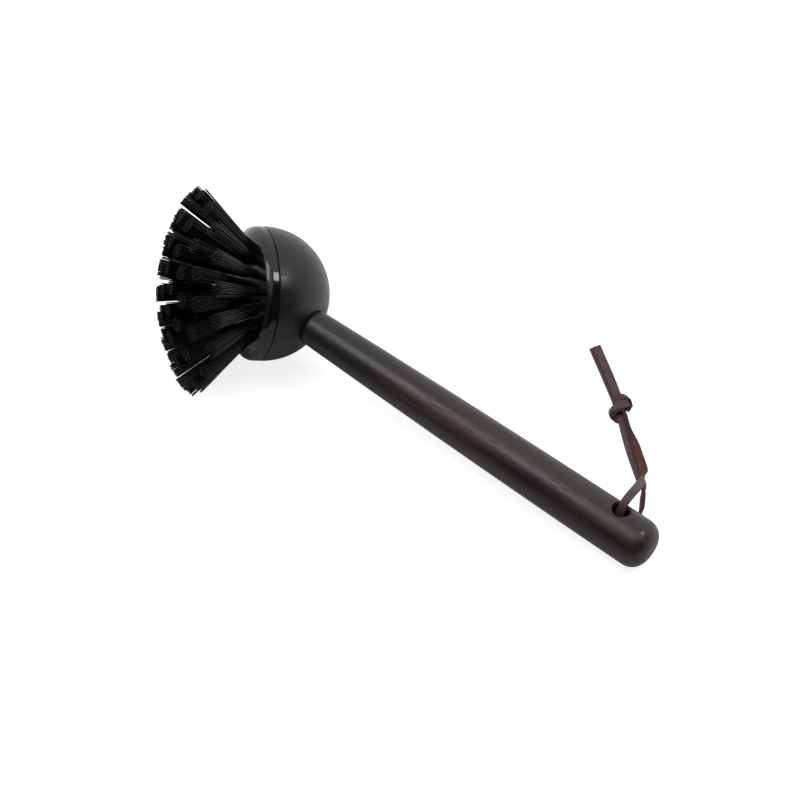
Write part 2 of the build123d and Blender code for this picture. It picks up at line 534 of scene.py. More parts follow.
@dataclass(frozen=True)
class Placement:
    """Where the sub-assemblies stand, and the sizes that more than one of them needs.

    The brush axis is the joint's own, and the handle and its hole follow from it.
    """

    hole_station_mm: float = 191.5
    shoulder_station_mm: float = 28.4
    butt_radius_mm: float = 11.0
    ball_radius_mm: float = 30.0
    under_gap_mm: float = 1.8

    @property
    def ball_centre(self) -> Vector:
        """Centre of the ball, where the brush axis and the handle axis meet."""
        return Vector(frame["joints"][0]["pos_m"])

    @property
    def brush_direction(self) -> Vector:
        """Direction of the brush axis, out of the ball towards the tufts."""
        return Vector(frame["joints"][0]["axis"]).normalized()

    @property
    def handle_direction(self) -> Vector:
        """Direction of the handle axis, from the ball to the butt, which lies on the lace."""
        drop = self.ball_radius_mm - self.butt_radius_mm - self.under_gap_mm
        fall = math.asin(drop / self.hole_station_mm)
        return Vector((math.cos(fall), 0, -math.sin(fall)))

    @property
    def hole_direction(self) -> Vector:
        """Direction of the lace hole, square to the brush axis and the handle."""
        return self.brush_direction.cross(self.handle_direction).normalized()

    @property
    def hole_middle(self) -> Vector:
        """Middle of the lace hole, on the handle axis."""
        return self.ball_centre + self.handle_direction * self.hole_station_mm * MM

    @property
    def down_direction(self) -> Vector:
        """The downward direction square to the brush axis, where the first tuft of a ring stands."""
        brush = self.brush_direction
        return (brush * brush.z - Vector((0, 0, 1))).normalized()

    def brush_frame(self) -> Matrix:
        """Axes of the brush head: X to its lowest side, Z along the brush axis, from the ball's centre."""
        return axes_at(self.ball_centre, self.down_direction, self.brush_direction)

    def handle_frame(self) -> Matrix:
        """Axes of the handle: X along the lace hole, Z along the handle, from the ball's centre."""
        return axes_at(self.ball_centre, self.hole_direction, self.handle_direction)


def axes_at(origin: Vector, x_direction: Vector, z_direction: Vector) -> Matrix:
    """Makes the matrix of a set of axes.

    Args:
        origin: Where the axes meet.
        x_direction: Direction of X, square to Z.
        z_direction: Direction of Z.

    Returns:
        The 4 by 4 matrix from those axes to the frame's own.
    """
    y_direction = z_direction.cross(x_direction)
    turn = Matrix((x_direction, y_direction, z_direction)).transposed()
    return Matrix.Translation(origin) @ turn.to_4x4()


def mesh_piece(
    name: str,
    points: np.ndarray,
    faces: Sequence[Sequence[int]],
    materials: Sequence[bpy.types.Material],
    material_of_face: Sequence[int] | None = None,
    sharp_deg: float = 40.0,
) -> bpy.types.Object:
    """Makes a smooth-shaded mesh object whose edges stay sharp above an angle.

    Args:
        name: The piece's name.
        points: Its vertices in metres, one row each.
        faces: Its faces as vertex numbers.
        materials: Its materials.
        material_of_face: The number of each face's material, or None for the first.
        sharp_deg: The angle above which an edge is drawn sharp.

    Returns:
        The object, linked to the scene.
    """
    mesh = bpy.data.meshes.new(name)
    mesh.from_pydata([tuple(p) for p in points], [], [tuple(f) for f in faces])
    for material in materials:
        mesh.materials.append(material)
    if material_of_face is not None:
        mesh.polygons.foreach_set("material_index", np.asarray(material_of_face, np.int32))
    mesh.validate()
    smooth_by_angle(mesh, sharp_deg)
    piece = bpy.data.objects.new(name, mesh)
    bpy.context.scene.collection.objects.link(piece)
    return piece


def smooth_by_angle(mesh: bpy.types.Mesh, sharp_deg: float) -> None:
    """Shades a mesh smooth, with its edges sharp above an angle.

    Args:
        mesh: The mesh.
        sharp_deg: The angle above which an edge is sharp, in degrees.
    """
    mesh.polygons.foreach_set("use_smooth", np.ones(len(mesh.polygons), bool))
    mesh.set_sharp_from_angle(angle=math.radians(sharp_deg))
    mesh.update()


def arc(
    centre: tuple[float, float], radius: float, start_deg: float, end_deg: float, steps: int
) -> list[tuple[float, float]]:
    """Points on an arc of a profile, both ends among them.

    Args:
        centre: Its centre as station and radius.
        radius: Its radius.
        start_deg: Where it starts, from the station's direction towards the radius.
        end_deg: Where it ends.
        steps: How many runs it has.

    Returns:
        The points as station and radius.
    """
    angles = np.radians(np.linspace(start_deg, end_deg, steps + 1))
    return [(centre[0] + radius * math.cos(a), centre[1] + radius * math.sin(a)) for a in angles]


def lathe(
    profile: Iterable[tuple[float, float]], axes: Matrix, around: int
) -> tuple[np.ndarray, list[tuple[int, ...]]]:
    """Turns a profile about Z of a set of axes into a closed skin.

    Args:
        profile: Station along Z and radius of each point in millimetres. The first and last lie on Z.
        axes: The axes.
        around: How many faces go round.

    Returns:
        The vertices in metres and the faces.
    """
    rows: list[tuple[float, float]] = []
    for point in profile:
        if not rows or math.dist(point, rows[-1]) > 1e-6:
            rows.append(point)
    rings = np.array(rows[1:-1])
    angles = np.linspace(0, 2 * math.pi, around, endpoint=False)
    local = np.zeros((len(rings), around, 3))
    local[:, :, 0] = rings[:, 1:2] * np.cos(angles)
    local[:, :, 1] = rings[:, 1:2] * np.sin(angles)
    local[:, :, 2] = rings[:, 0:1]
    points = np.vstack([local.reshape(-1, 3), [[0, 0, rows[0][0]], [0, 0, rows[-1][0]]]]) * MM
    first_pole, last_pole = len(points) - 2, len(points) - 1
    faces: list[tuple[int, ...]] = []
    for ring in range(len(rings) - 1):
        for step in range(around):
            here, after = ring * around + step, ring * around + (step + 1) % around
            faces.append((here, after, after + around, here + around))
    last_ring = (len(rings) - 1) * around
    for step in range(around):
        after = (step + 1) % around
        faces.append((first_pole, after, step))
        faces.append((last_pole, last_ring + step, last_ring + after))
    return placed(points, axes), faces


def placed(points: np.ndarray, axes: Matrix) -> np.ndarray:
    """Moves points from a set of axes to the frame's own."""
    matrix = np.array(axes)
    return points @ matrix[:3, :3].T + matrix[:3, 3]


def drilled(piece: bpy.types.Object, cutters: Sequence[bpy.types.Object], sharp_deg: float) -> None:
    """Takes closed cutters out of a piece and deletes them.

    Args:
        piece: The piece, whose mesh is replaced.
        cutters: The closed meshes to take out of it.
        sharp_deg: The angle above which an edge of the result is sharp.
    """
    for cutter in cutters:
        cut = piece.modifiers.new("cut", "BOOLEAN")
        cut.operation = "DIFFERENCE"
        cut.solver = "EXACT"
        cut.object = cutter
    finished = piece.evaluated_get(bpy.context.evaluated_depsgraph_get())
    mesh = bpy.data.meshes.new_from_object(finished)
    piece.modifiers.clear()
    piece.data = mesh
    mesh.name = piece.name
    smooth_by_angle(mesh, sharp_deg)
    for cutter in cutters:
        bpy.data.objects.remove(cutter)


def plug(name: str, axes: Matrix, radius: float, low: float, high: float, around: int) -> bpy.types.Object:
    """A closed round cutter between two stations, in millimetres, along Z of a set of axes."""
    points, faces = lathe([(low, 0), (low, radius), (high, radius), (high, 0)], axes, around)
    return mesh_piece(name, points, faces, [])


@dataclass
class View:
    """The camera at the photograph's viewing angle, and the lens that gives its frame."""

    stand: Point = (0.46942, -0.35284, 0.84312)
    aim: Point = (0.071422, 0.003726, 0.0)
    roll_deg: float = -11.691
    lens_mm: float = 100.905
    sensor_mm: float = 36.0
    clip_near: float = 0.05
    clip_far: float = 20.0

    def build(self) -> bpy.types.Object:
        """Makes the camera and gives it to the scene.

        Returns:
            The camera.
        """
        data = bpy.data.cameras.new("studio_camera")
        data.lens = self.lens_mm
        data.sensor_width = self.sensor_mm
        data.clip_start = self.clip_near
        data.clip_end = self.clip_far
        camera = bpy.data.objects.new("studio_camera", data)
        bpy.context.scene.collection.objects.link(camera)
        looking = Vector(self.aim) - Vector(self.stand)
        roll = Quaternion((0, 0, 1), math.radians(self.roll_deg))
        camera.rotation_mode = "QUATERNION"
        camera.rotation_quaternion = looking.to_track_quat("-Z", "Y") @ roll
        camera.location = self.stand
        bpy.context.scene.camera = camera
        return camera


@dataclass(frozen=True)
class Softbox:
    """One lamp with a square diffuser, placed by the direction it shines from."""

    name: str
    direction: Point
    distance: float
    size: float
    watts: float

    def build(self, target: Vector) -> bpy.types.Object:
        """Makes the lamp.

        Args:
            target: The point that it faces.

        Returns:
            The lamp.
        """
        data = bpy.data.lights.new(self.name, "AREA")
        data.shape = "SQUARE"
        data.size = self.size
        data.energy = self.watts
        lamp = bpy.data.objects.new(self.name, data)
        bpy.context.scene.collection.objects.link(lamp)
        away = Vector(self.direction).normalized()
        lamp.location = target + away * self.distance
        lamp.rotation_mode = "QUATERNION"
        lamp.rotation_quaternion = (-away).to_track_quat("-Z", "Y")
        return lamp


@dataclass
class Studio:
    """White table, white surroundings and two lamps, a window's and one overhead.

    The edges are shares of a mirrored direction's X or Y, those of the lit floor are metres of Y.
    """

    floor_reach: float = 6.0
    floor_hex: str = "#f2f2f2"
    ambient: float = 0.26
    floor_own_light: float = 0.78
    floor_mirrored_light: float = 0.55
    dim_share: float = 0.07
    front_share: float = 0.15
    left_wall_edges: tuple[float, float] = (0.3, 0.75)
    back_wall_edges: tuple[float, float] = (0.05, 0.85)
    front_edges: tuple[float, float] = (-0.15, -0.7)
    lit_floor_edges: tuple[float, float] = (-0.01, 0.05)
    target: Point = (0.07, 0.0, 0.02)
    lamps: tuple[Softbox, ...] = (
        Softbox("window_lamp", (0.50, 0.42, 0.76), 1.3, 0.30, 2.4),
        Softbox("overhead_lamp", (-0.23, -0.10, 0.965), 1.3, 0.62, 3.6),
    )

    def build(self) -> None:
        """Makes the surroundings, the table and the lamps."""
        self.light_surroundings()
        self.lay_floor()
        for lamp in self.lamps:
            lamp.build(Vector(self.target))

    def light_surroundings(self) -> None:
        """Makes the world: white where it is seen, softer as light, and a room where it is mirrored.

        The room's left and back walls are white, and its front and right sides are in shade.
        """
        world = bpy.data.worlds.new("studio")
        bpy.context.scene.world = world
        world.use_nodes = True
        tree = world.node_tree
        background = tree.nodes["Background"]
        rays = add_node(tree, "ShaderNodeLightPath").outputs
        seen = add_node(
            tree,
            "ShaderNodeMath",
            settings={"operation": "MAXIMUM"},
            inputs={0: rays["Is Camera Ray"], 1: rays["Is Transmission Ray"]},
        ).outputs["Value"]
        direction = add_node(tree, "ShaderNodeTexCoord").outputs["Generated"]
        parts = add_node(tree, "ShaderNodeSeparateXYZ", inputs={0: direction}).outputs
        fades = (
            ("X", self.left_wall_edges, 1.0, self.dim_share),
            ("Y", self.back_wall_edges, 0.0, 1.0),
            ("Y", self.front_edges, 1.0, self.front_share),
        )
        left_wall, back_wall, dim_front = (
            add_node(
                tree,
                "ShaderNodeMapRange",
                settings={"interpolation_type": "SMOOTHSTEP"},
                inputs={
                    "Value": parts[axis],
                    "From Min": edges[0],
                    "From Max": edges[1],
                    "To Min": before,
                    "To Max": after,
                },
            ).outputs["Result"]
            for axis, edges, before, after in fades
        )
        walls = add_node(
            tree, "ShaderNodeMath", settings={"operation": "MAXIMUM"}, inputs={0: left_wall, 1: back_wall}
        ).outputs["Value"]
        room = add_node(
            tree, "ShaderNodeMath", settings={"operation": "MULTIPLY"}, inputs={0: walls, 1: dim_front}
        ).outputs["Value"]
        mirrored = add_node(
            tree,
            "ShaderNodeMix",
            settings={"data_type": "FLOAT"},
            inputs={0: rays["Is Glossy Ray"], 2: self.ambient, 3: room},
        ).outputs[0]
        strength = add_node(
            tree, "ShaderNodeMix", settings={"data_type": "FLOAT"}, inputs={0: seen, 2: mirrored, 3: 1.0}
        ).outputs[0]
        feed(background, {"Strength": strength, "Color": grey(1.0)})

    def lay_floor(self) -> None:
        """Makes the white table, which keeps the brush's shadow and is mirrored white behind the brush."""
        material = bpy.data.materials.new("white_table")
        material.use_nodes = True
        tree = material.node_tree
        tree.nodes.clear()
        rays = add_node(tree, "ShaderNodeLightPath").outputs
        matt = add_node(
            tree, "ShaderNodeBsdfDiffuse", inputs={"Color": linear(self.floor_hex)}
        ).outputs["BSDF"]
        seen = add_node(
            tree,
            "ShaderNodeMath",
            settings={"operation": "MULTIPLY"},
            inputs={0: rays["Is Camera Ray"], 1: self.floor_own_light},
        ).outputs["Value"]
        place = add_node(tree, "ShaderNodeTexCoord").outputs["Object"]
        from_front = add_node(tree, "ShaderNodeSeparateXYZ", inputs={0: place}).outputs["Y"]
        behind = add_node(
            tree,
            "ShaderNodeMapRange",
            settings={"interpolation_type": "SMOOTHSTEP"},
            inputs={
                "Value": from_front,
                "From Min": self.lit_floor_edges[0],
                "From Max": self.lit_floor_edges[1],
                "To Min": 0.0,
                "To Max": self.floor_mirrored_light,
            },
        ).outputs["Result"]
        lit = add_node(
            tree,
            "ShaderNodeMath",
            settings={"operation": "MULTIPLY_ADD"},
            inputs={0: rays["Is Glossy Ray"], 1: behind, 2: seen},
        ).outputs["Value"]
        glow = add_node(
            tree, "ShaderNodeEmission", inputs={"Color": grey(1.0), "Strength": lit}
        ).outputs["Emission"]
        both = add_node(tree, "ShaderNodeAddShader", inputs={0: matt, 1: glow}).outputs["Shader"]
        add_node(tree, "ShaderNodeOutputMaterial", inputs={"Surface": both})
        reach = self.floor_reach
        corners = np.array([(-reach, -reach, 0), (reach, -reach, 0), (reach, reach, 0), (-reach, reach, 0)])
        floor = mesh_piece("white_table", corners, [(0, 1, 2, 3)], [material])


@dataclass
class Strip:
    """A flat strip of leather that follows a route, with its grain side, flesh side and edges."""

    width: float = 3.7
    thickness: float = 1.4
    corner: float = 0.35
    corner_steps: int = 3

    def section(self) -> tuple[np.ndarray, list[LeatherSide]]:
        """The strip's outline across, grain side up, and the side that each run of it shows.

        Returns:
            Points in millimetres as across and up, and the leather side of each run.
        """
        half_width, half_thickness = self.width / 2 - self.corner, self.thickness / 2 - self.corner
        points: list[tuple[float, float]] = []
        sides: list[LeatherSide] = []
        corners = (
            (half_width, half_thickness, 0, LeatherSide.EDGE, LeatherSide.GRAIN),
            (-half_width, half_thickness, 90, LeatherSide.GRAIN, LeatherSide.EDGE),
            (-half_width, -half_thickness, 180, LeatherSide.EDGE, LeatherSide.FLESH),
            (half_width, -half_thickness, 270, LeatherSide.FLESH, LeatherSide.EDGE),
        )
        for across, up, start, before, after in corners:
            for step in range(self.corner_steps + 1):
                angle = math.radians(start + 90 * step / self.corner_steps)
                points.append((across + self.corner * math.cos(angle), up + self.corner * math.sin(angle)))
                share = step / self.corner_steps
                sides.append(after if step == self.corner_steps or share >= 0.5 else before)
        return np.array(points), sides

    def skin(
        self, line: np.ndarray, normals: np.ndarray
    ) -> tuple[np.ndarray, list[tuple[int, ...]], list[int]]:
        """Lays the strip's section along a line.

        Args:
            line: Points of the line in metres.
            normals: Direction of the grain side at each point.

        Returns:
            Vertices in metres, faces and the leather side's number of each face.
        """
        outline, sides = self.section()
        numbers = {side: number for number, side in enumerate(LeatherSide)}
        tangents = directions_along(line)
        across = np.cross(normals, tangents)
        across /= np.linalg.norm(across, axis=1, keepdims=True)
        up = np.cross(tangents, across)
        points = (
            line[:, None, :]
            + outline[None, :, 0:1] * MM * across[:, None, :]
            + outline[None, :, 1:2] * MM * up[:, None, :]
        ).reshape(-1, 3)
        count = len(outline)
        faces: list[tuple[int, ...]] = []
        shown: list[int] = []
        for row in range(len(line) - 1):
            for step in range(count):
                after = (step + 1) % count
                here, there = row * count, (row + 1) * count
                faces.append((here + step, here + after, there + after, there + step))
                shown.append(numbers[sides[step]])
        faces.append(tuple(reversed(range(count))))
        faces.append(tuple((len(line) - 1) * count + step for step in range(count)))
        shown += [numbers[LeatherSide.EDGE]] * 2
        return points, faces, shown


def directions_along(line: np.ndarray) -> np.ndarray:
    """Direction of a line at each of its points."""
    steps = np.gradient(line, axis=0)
    return steps / np.linalg.norm(steps, axis=1, keepdims=True)


def smooth_line(name: str, route: Sequence[Point], resolution: int) -> np.ndarray:
    """Reads the smooth line of a route as its NURBS spline gives it.

    Args:
        name: Name of the curve.
        route: Its control points in metres.
        resolution: Points read between two control points.

    Returns:
        Points of the line in metres.
    """
    curve = bpy.data.curves.new(name, "CURVE")
    curve.dimensions = "3D"
    curve.resolution_u = resolution
    spline = curve.splines.new("NURBS")
    spline.points.add(len(route) - 1)
    for point, place in zip(spline.points, route):
        point.co = (*place, 1.0)
    spline.order_u = 3
    spline.use_endpoint_u = True
    holder = bpy.data.objects.new(name, curve)
    mesh = bpy.data.meshes.new_from_object(holder)
    line = np.array([vertex.co for vertex in mesh.vertices])
    bpy.data.objects.remove(holder)
    bpy.data.curves.remove(curve)
    bpy.data.meshes.remove(mesh)
    return line


def carried_normals(line: np.ndarray, first: Vector) -> np.ndarray:
    """Carries a direction along a line without turning it about the line.

    Args:
        line: Points of the line.
        first: The direction at its first point.

    Returns:
        One direction at each point, square to the line.
    """
    tangents = directions_along(line)
    normal = first - Vector(tangents[0]) * first.dot(Vector(tangents[0]))
    carried = [normal.normalized()]
    for before, after in zip(tangents, tangents[1:]):
        normal = Vector(before).rotation_difference(Vector(after)) @ carried[-1]
        normal -= Vector(after) * normal.dot(Vector(after))
        carried.append(normal.normalized())
    return np.array(carried)


def turned_normals(line: np.ndarray, normals: np.ndarray, turns_deg: np.ndarray) -> np.ndarray:
    """Turns each direction about the line by its own angle.

    Args:
        line: Points of the line.
        normals: One direction at each point.
        turns_deg: One angle at each point, in degrees.

    Returns:
        The turned directions.
    """
    tangents = directions_along(line)
    turned = [
        Quaternion(Vector(tangent), math.radians(turn)) @ Vector(normal)
        for tangent, normal, turn in zip(tangents, normals, turns_deg)
    ]
    return np.array(turned)


def eased(value: np.ndarray, start: float, end: float) -> np.ndarray:
    """Share from 0 before start to 1 after end, with soft ends."""
    share = np.clip((value - start) / (end - start), 0, 1)
    return share * share * (3 - 2 * share)


@dataclass(frozen=True)
class Turn:
    """A turn of a strip about its own line, between two shares of its length from the hole."""

    start: float
    end: float
    angle_deg: float


@dataclass
class Lace:
    """Leather lace through the handle's hole, its two ends tied together in an overhand knot.

    Each half is a free strip from the middle of the hole to its cut end. The lower half comes
    out under the handle, stands on its edge beside it and lies down again. The upper half comes
    over the back rim of the hole, crosses the lower one and turns its flesh side up.
    """

    placement: Placement
    resolution: int = 12
    strip: Strip = field(default_factory=Strip)
    upper_route: tuple[Point, ...] = (
        (0.1907, 0.0005, 0.0125),
        (0.1911, 0.0031, 0.0183),
        (0.1910, 0.0072, 0.0232),
        (0.1910, 0.0122, 0.0232),
        (0.1892, 0.0201, 0.0170),
        (0.1862, 0.0279, 0.0092),
        (0.1827, 0.0331, 0.0048),
        (0.1794, 0.0363, 0.0034),
        (0.1763, 0.0387, 0.0028),
        (0.1724, 0.0420, 0.0025),
        (0.1685, 0.0444, 0.0024),
        (0.1648, 0.0474, 0.0023),
        (0.1616, 0.0503, 0.0025),
        (0.1585, 0.0530, 0.0026),
        (0.1533, 0.0566, 0.0026),
        (0.1489, 0.0599, 0.0024),
        (0.1415, 0.0654, 0.0023),
        (0.1345, 0.0701, 0.0023),
        (0.1281, 0.0746, 0.0023),
    )
    lower_route: tuple[Point, ...] = (
        (0.1907, 0.0005, 0.0125),
        (0.19039, -0.00153, 0.00798),
        (0.19015, -0.00335, 0.0041),
        (0.1900, -0.0013, 0.00085),
        (0.1914, 0.0054, 0.00085),
        (0.1931, 0.0124, 0.0016),
        (0.1925, 0.0172, 0.0022),
        (0.1901, 0.0213, 0.0021),
        (0.1879, 0.0249, 0.0014),
        (0.1857, 0.0282, 0.00085),
        (0.1819, 0.0310, 0.00085),
        (0.1784, 0.0337, 0.00085),
        (0.1745, 0.0367, 0.00085),
        (0.1704, 0.0400, 0.00085),
        (0.1665, 0.0434, 0.00085),
        (0.1627, 0.0469, 0.00095),
        (0.1587, 0.0506, 0.0013),
        (0.1517, 0.0565, 0.0012),
        (0.1471, 0.0598, 0.0009),
        (0.1402, 0.0646, 0.00085),
        (0.1332, 0.0694, 0.00085),
        (0.1268, 0.0738, 0.00085),
    )
    upper_turns: tuple[Turn, ...] = (
        Turn(0.26, 0.43, 130.0),
        Turn(0.50, 0.62, -75.0),
        Turn(0.66, 0.76, -95.0),
    )
    lower_turns: tuple[Turn, ...] = (Turn(0.20, 0.28, 115.0), Turn(0.33, 0.41, -115.0))
    handle_radius_mm: float = 10.9

    def materials(self) -> list[bpy.types.Material]:
        """The leather's finishes in the order of LeatherSide."""
        return [
            LaceLeather("lace_grain", LeatherSide.GRAIN, "#5d4647", "#433132", 0.5).build(),
            LaceLeather("lace_flesh", LeatherSide.FLESH, "#7c4a43", "#5a3634", 0.85).build(),
            LaceLeather("lace_edge", LeatherSide.EDGE, "#4a2f2f", "#2f1f20", 0.8).build(),
        ]

    def strand(
        self, name: str, route: Sequence[Point], turns: Sequence[Turn]
    ) -> tuple[bpy.types.Object, np.ndarray]:
        """Builds one half of the lace.

        Args:
            name: The piece's name.
            route: Its control points, from the hole to the cut end.
            turns: Its turns about its own line.

        Returns:
            The piece and the line that it follows.
        """
        line = smooth_line(name + "_route", route, self.resolution)
        from_tail = line[::-1]
        normals = carried_normals(from_tail, Vector((0, 0, 1)))
        gone = np.concatenate([[0], np.cumsum(np.linalg.norm(np.diff(from_tail, axis=0), axis=1))])
        share = 1 - gone / gone[-1]
        angles = np.zeros(len(line))
        for turn in turns:
            angles = angles + turn.angle_deg * (1 - eased(share, turn.start, turn.end))
        points, faces, shown = self.strip.skin(from_tail, turned_normals(from_tail, normals, angles))
        points[:, 2] = np.maximum(points[:, 2], FLOOR_CLEARANCE)
        piece = mesh_piece(name, points, faces, self.finishes, shown, sharp_deg=60)
        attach(piece, HANDLE_SIDE)
        LOG.info("%s: %.1f mm long", name, gone[-1] / MM)
        return piece, line

    def build(self) -> None:
        self.finishes = self.materials()
        knot = Knot(self.strip, self.finishes).build()
        upper, upper_line = self.strand("lace_strand_upper", self.upper_route, self.upper_turns)
        lower, lower_line = self.strand("lace_strand_lower", self.lower_route, self.lower_turns)
        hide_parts("lace_upper")
        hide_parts("lace_lower")


@dataclass(frozen=True)
class KnotBand:
    """One visible band of the knot: its route in the knot's own axes and the side it shows."""

    route_mm: tuple[Point, ...]
    grain_out: bool


@dataclass
class Knot:
    """Overhand knot in both halves of the lace together, pulled half tight.

    Its own axes are X along the lace to the cut ends, Y to the left of that and Z up.
    """

    strip: Strip
    finishes: Sequence[bpy.types.Material]
    centre: Point = (0.1553, 0.0541, 0.0027)
    heading: Point = (-0.735, 0.678, 0.0)
    resolution: int = 10
    bands: tuple[KnotBand, ...] = (
        KnotBand(
            (
                (-3.2, -0.4, -1.75),
                (-3.8, 2.2, -1.7),
                (-3.1, 4.4, -1.0),
                (-1.9, 4.9, 0.3),
                (-0.9, 3.4, 1.4),
                (0.1, 0.4, 1.75),
                (0.8, -2.8, 1.5),
                (1.3, -4.9, 0.8),
                (1.5, -5.1, -0.5),
                (1.0, -3.6, -1.5),
                (0.2, -1.0, -1.75),
            ),
            grain_out=True,
        ),
        KnotBand(
            (
                (-0.6, -2.6, -1.6),
                (0.3, -4.6, -0.9),
                (2.2, -4.9, 0.6),
                (4.0, -3.4, 1.5),
                (4.4, -1.0, 1.3),
                (3.6, 1.2, 0.2),
                (2.0, 1.8, -1.2),
            ),
            grain_out=False,
        ),
        KnotBand(
            (
                (-4.4, 0.4, -1.75),
                (-4.8, 2.0, -1.65),
                (-4.2, 3.3, -1.2),
                (-2.9, 3.8, -0.1),
                (-1.6, 2.5, 0.7),
                (-0.6, 0.2, 0.8),
            ),
            grain_out=False,
        ),
    )

    def build(self) -> bpy.types.Object:
        """Builds the knot from its bands.

        Returns:
            The knot as one piece.
        """
        axes = axes_at(Vector(self.centre), Vector(self.heading).normalized(), Vector((0, 0, 1)))
        all_points: list[np.ndarray] = []
        all_faces: list[tuple[int, ...]] = []
        all_shown: list[int] = []
        count = 0
        for number, band in enumerate(self.bands):
            route = [tuple(axes @ (Vector(point) * MM)) for point in band.route_mm]
            line = smooth_line(f"knot_band_{number}", route, self.resolution)
            outward = self.outward(line, axes)
            if not band.grain_out:
                outward = -outward
            points, faces, shown = self.strip.skin(line, outward)
            all_points.append(points)
            all_faces += [tuple(i + count for i in face) for face in faces]
            all_shown += shown
            count += len(points)
        points = np.vstack(all_points)
        points[:, 2] = np.maximum(points[:, 2], FLOOR_CLEARANCE)
        piece = mesh_piece("overhand_knot", points, all_faces, self.finishes, all_shown, sharp_deg=60)
        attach(piece, HANDLE_SIDE)
        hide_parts("lace_knot")
        LOG.info("overhand_knot: %d bands", len(self.bands))
        return piece

    def outward(self, line: np.ndarray, axes: Matrix) -> np.ndarray:
        """Direction away from the knot's middle line at each point of a band.

        Args:
            line: Points of the band.
            axes: The knot's axes.

        Returns:
            One direction at each point, square to the band.
        """
        along = np.array(axes.to_3x3().col[0])
        away = line - np.array(axes.translation)
        away -= np.outer(away @ along, along)
        tangents = directions_along(line)
        away -= tangents * np.sum(away * tangents, axis=1, keepdims=True)
        return away / np.linalg.norm(away, axis=1, keepdims=True)


